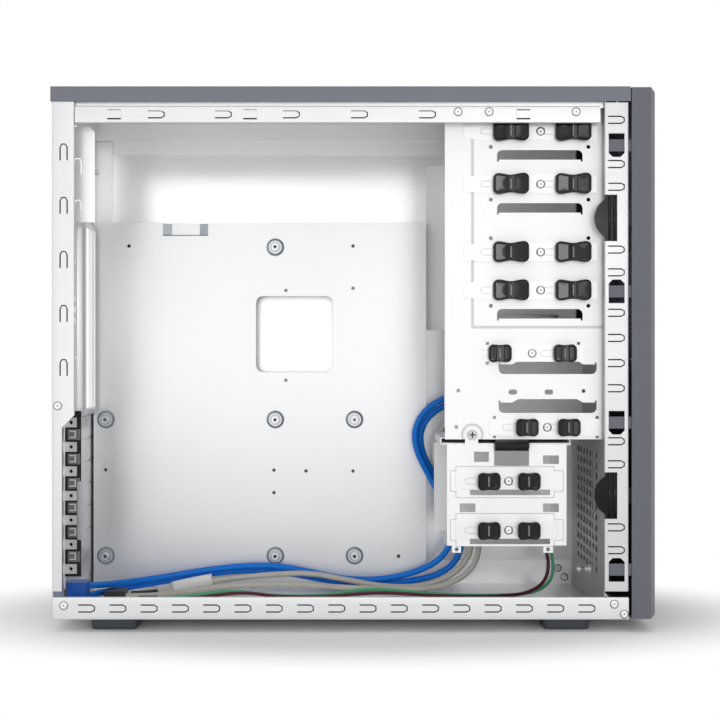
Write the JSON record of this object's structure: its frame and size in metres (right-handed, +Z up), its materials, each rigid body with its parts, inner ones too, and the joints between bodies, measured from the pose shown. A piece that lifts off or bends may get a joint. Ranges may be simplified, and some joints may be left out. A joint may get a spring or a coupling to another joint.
{
  "type": "mid-tower computer case",
  "caption": "Open mid-tower computer case of folded zinc steel with a slate top and bezel, drive bays with black rocker locks, a slide-out drive cage and front panel cables.",
  "frame": {"origin": "middle of the footprint, on the surface that the feet stand on", "axes": "+X to the front bezel, -Y out of the open left side, +Z up"},
  "size_m": [0.4915, 0.192, 0.438],
  "materials": {
    "zinc_steel": "satin zinc coat",
    "strip_steel": "bright zinc coat",
    "screw_steel": "nickel plated",
    "black_plastic": "glossy moulded",
    "slate_paint": "fine satin paint",
    "slate_plastic": "fine matt texture",
    "foot_rubber": "moulded",
    "blue_sheath": "satin",
    "grey_sheath": "satin",
    "green_sheath": "satin",
    "red_sheath": "satin"
  },
  "bodies": {
    "chassis": {"bay_cage_left_plate": "zinc_steel", "bay_cage_right_plate": "zinc_steel", "bay_cage_shelf": "zinc_steel", "bay_cover_1": "slate_plastic", "bay_cover_2": "slate_plastic", "bay_cover_3": "slate_plastic", "bay_cover_4": "slate_plastic", "bezel_latches": "black_plastic", "blue_cable_1": "blue_sheath", "blue_cable_2": "blue_sheath", "blue_plug": "blue_sheath", "bottom_pan": "zinc_steel", "feet": "foot_rubber", "front_bezel": "slate_plastic", "front_io_module": "slate_plastic", "front_panel": "zinc_steel", "green_wire": "green_sheath", "grey_cable_1": "grey_sheath", "grey_cable_2": "grey_sheath", "grey_plug": "black_plastic", "large_bay_1_strip": "strip_steel", "large_bay_2_strip": "strip_steel", "large_bay_3_strip": "strip_steel", "large_bay_4_strip": "strip_steel", "lower_small_bay_strip": "strip_steel", "motherboard_tray": "zinc_steel", "rear_panel": "zinc_steel", "red_wire": "red_sheath", "right_side_panel": "slate_paint", "roof_panel": "zinc_steel", "slot_covers": "zinc_steel", "small_bay_cover": "slate_plastic", "thumbscrews": "screw_steel", "top_cover": "slate_paint", "upper_small_bay_strip": "strip_steel", "wire_plug": "black_plastic"},
    "hdd_cage": {"hdd_cage": "zinc_steel", "hdd_cage_top_plate": "zinc_steel", "cage_handle": "black_plastic", "cage_screw": "screw_steel", "drive_slot_1_strip": "strip_steel", "drive_slot_2_strip": "strip_steel"},
    "drive_slot_1_front_rocker": {"drive_slot_1_front_rocker": "black_plastic"},
    "drive_slot_1_rear_rocker": {"drive_slot_1_rear_rocker": "black_plastic"},
    "drive_slot_2_front_rocker": {"drive_slot_2_front_rocker": "black_plastic"},
    "drive_slot_2_rear_rocker": {"drive_slot_2_rear_rocker": "black_plastic"},
    "large_bay_1_front_rocker": {"large_bay_1_front_rocker": "black_plastic"},
    "large_bay_1_rear_rocker": {"large_bay_1_rear_rocker": "black_plastic"},
    "large_bay_2_front_rocker": {"large_bay_2_front_rocker": "black_plastic"},
    "large_bay_2_rear_rocker": {"large_bay_2_rear_rocker": "black_plastic"},
    "large_bay_3_front_rocker": {"large_bay_3_front_rocker": "black_plastic"},
    "large_bay_3_rear_rocker": {"large_bay_3_rear_rocker": "black_plastic"},
    "large_bay_4_front_rocker": {"large_bay_4_front_rocker": "black_plastic"},
    "large_bay_4_rear_rocker": {"large_bay_4_rear_rocker": "black_plastic"},
    "lower_small_bay_front_rocker": {"lower_small_bay_front_rocker": "black_plastic"},
    "lower_small_bay_rear_rocker": {"lower_small_bay_rear_rocker": "black_plastic"},
    "upper_small_bay_front_rocker": {"upper_small_bay_front_rocker": "black_plastic"},
    "upper_small_bay_rear_rocker": {"upper_small_bay_rear_rocker": "black_plastic"},
    "power_button": {"power_button": "slate_plastic"},
    "reset_button": {"reset_button": "slate_plastic"}
  },
  "joints": [
    {"name": "hdd_cage_slide", "type": "slide", "parent": "chassis", "child": "hdd_cage", "axis": [0, -1, 0], "range_m": [0, 0.085]},
    {"name": "drive_slot_1_front_rocker_tilt", "type": "hinge", "parent": "hdd_cage", "child": "drive_slot_1_front_rocker", "pos_m": [0.1413, -0.0836, 0.1202], "axis": [0, 0, 1], "range_deg": [-14, 0]},
    {"name": "drive_slot_1_rear_rocker_tilt", "type": "hinge", "parent": "hdd_cage", "child": "drive_slot_1_rear_rocker", "pos_m": [0.109, -0.0836, 0.1202], "axis": [0, 0, 1], "range_deg": [-14, 0]},
    {"name": "drive_slot_2_front_rocker_tilt", "type": "hinge", "parent": "hdd_cage", "child": "drive_slot_2_front_rocker", "pos_m": [0.1413, -0.0836, 0.0804], "axis": [0, 0, 1], "range_deg": [-14, 0]},
    {"name": "drive_slot_2_rear_rocker_tilt", "type": "hinge", "parent": "hdd_cage", "child": "drive_slot_2_rear_rocker", "pos_m": [0.109, -0.0836, 0.0804], "axis": [0, 0, 1], "range_deg": [-14, 0]},
    {"name": "large_bay_1_front_rocker_tilt", "type": "hinge", "parent": "chassis", "child": "large_bay_1_front_rocker", "pos_m": [0.1773, -0.0828, 0.4039], "axis": [0, 0, 1], "range_deg": [0, 14]},
    {"name": "large_bay_1_rear_rocker_tilt", "type": "hinge", "parent": "chassis", "child": "large_bay_1_rear_rocker", "pos_m": [0.127, -0.0828, 0.4039], "axis": [0, 0, 1], "range_deg": [0, 14]},
    {"name": "large_bay_2_front_rocker_tilt", "type": "hinge", "parent": "chassis", "child": "large_bay_2_front_rocker", "pos_m": [0.1773, -0.0828, 0.361], "axis": [0, 0, 1], "range_deg": [0, 14]},
    {"name": "large_bay_2_rear_rocker_tilt", "type": "hinge", "parent": "chassis", "child": "large_bay_2_rear_rocker", "pos_m": [0.127, -0.0828, 0.361], "axis": [0, 0, 1], "range_deg": [0, 14]},
    {"name": "large_bay_3_front_rocker_tilt", "type": "hinge", "parent": "chassis", "child": "large_bay_3_front_rocker", "pos_m": [0.1773, -0.0828, 0.3059], "axis": [0, 0, 1], "range_deg": [0, 14]},
    {"name": "large_bay_3_rear_rocker_tilt", "type": "hinge", "parent": "chassis", "child": "large_bay_3_rear_rocker", "pos_m": [0.127, -0.0828, 0.3059], "axis": [0, 0, 1], "range_deg": [0, 14]},
    {"name": "large_bay_4_front_rocker_tilt", "type": "hinge", "parent": "chassis", "child": "large_bay_4_front_rocker", "pos_m": [0.1773, -0.0828, 0.275], "axis": [0, 0, 1], "range_deg": [0, 14]},
    {"name": "large_bay_4_rear_rocker_tilt", "type": "hinge", "parent": "chassis", "child": "large_bay_4_rear_rocker", "pos_m": [0.127, -0.0828, 0.275], "axis": [0, 0, 1], "range_deg": [0, 14]},
    {"name": "lower_small_bay_front_rocker_tilt", "type": "hinge", "parent": "chassis", "child": "lower_small_bay_front_rocker", "pos_m": [0.1737, -0.0828, 0.1638], "axis": [0, 0, 1], "range_deg": [-14, 0]},
    {"name": "lower_small_bay_rear_rocker_tilt", "type": "hinge", "parent": "chassis", "child": "lower_small_bay_rear_rocker", "pos_m": [0.1398, -0.0828, 0.1638], "axis": [0, 0, 1], "range_deg": [-14, 0]},
    {"name": "upper_small_bay_front_rocker_tilt", "type": "hinge", "parent": "chassis", "child": "upper_small_bay_front_rocker", "pos_m": [0.1707, -0.0828, 0.2238], "axis": [0, 0, 1], "range_deg": [0, 14]},
    {"name": "upper_small_bay_rear_rocker_tilt", "type": "hinge", "parent": "chassis", "child": "upper_small_bay_rear_rocker", "pos_m": [0.1181, -0.0828, 0.2238], "axis": [0, 0, 1], "range_deg": [0, 14]},
    {"name": "power_button_press", "type": "slide", "parent": "chassis", "child": "power_button", "axis": [-1, 0, 0], "range_m": [0, 0.0025], "stiffness_N_per_m": 300},
    {"name": "reset_button_press", "type": "slide", "parent": "chassis", "child": "reset_button", "axis": [-1, 0, 0], "range_m": [0, 0.0025], "stiffness_N_per_m": 300}
  ]
}
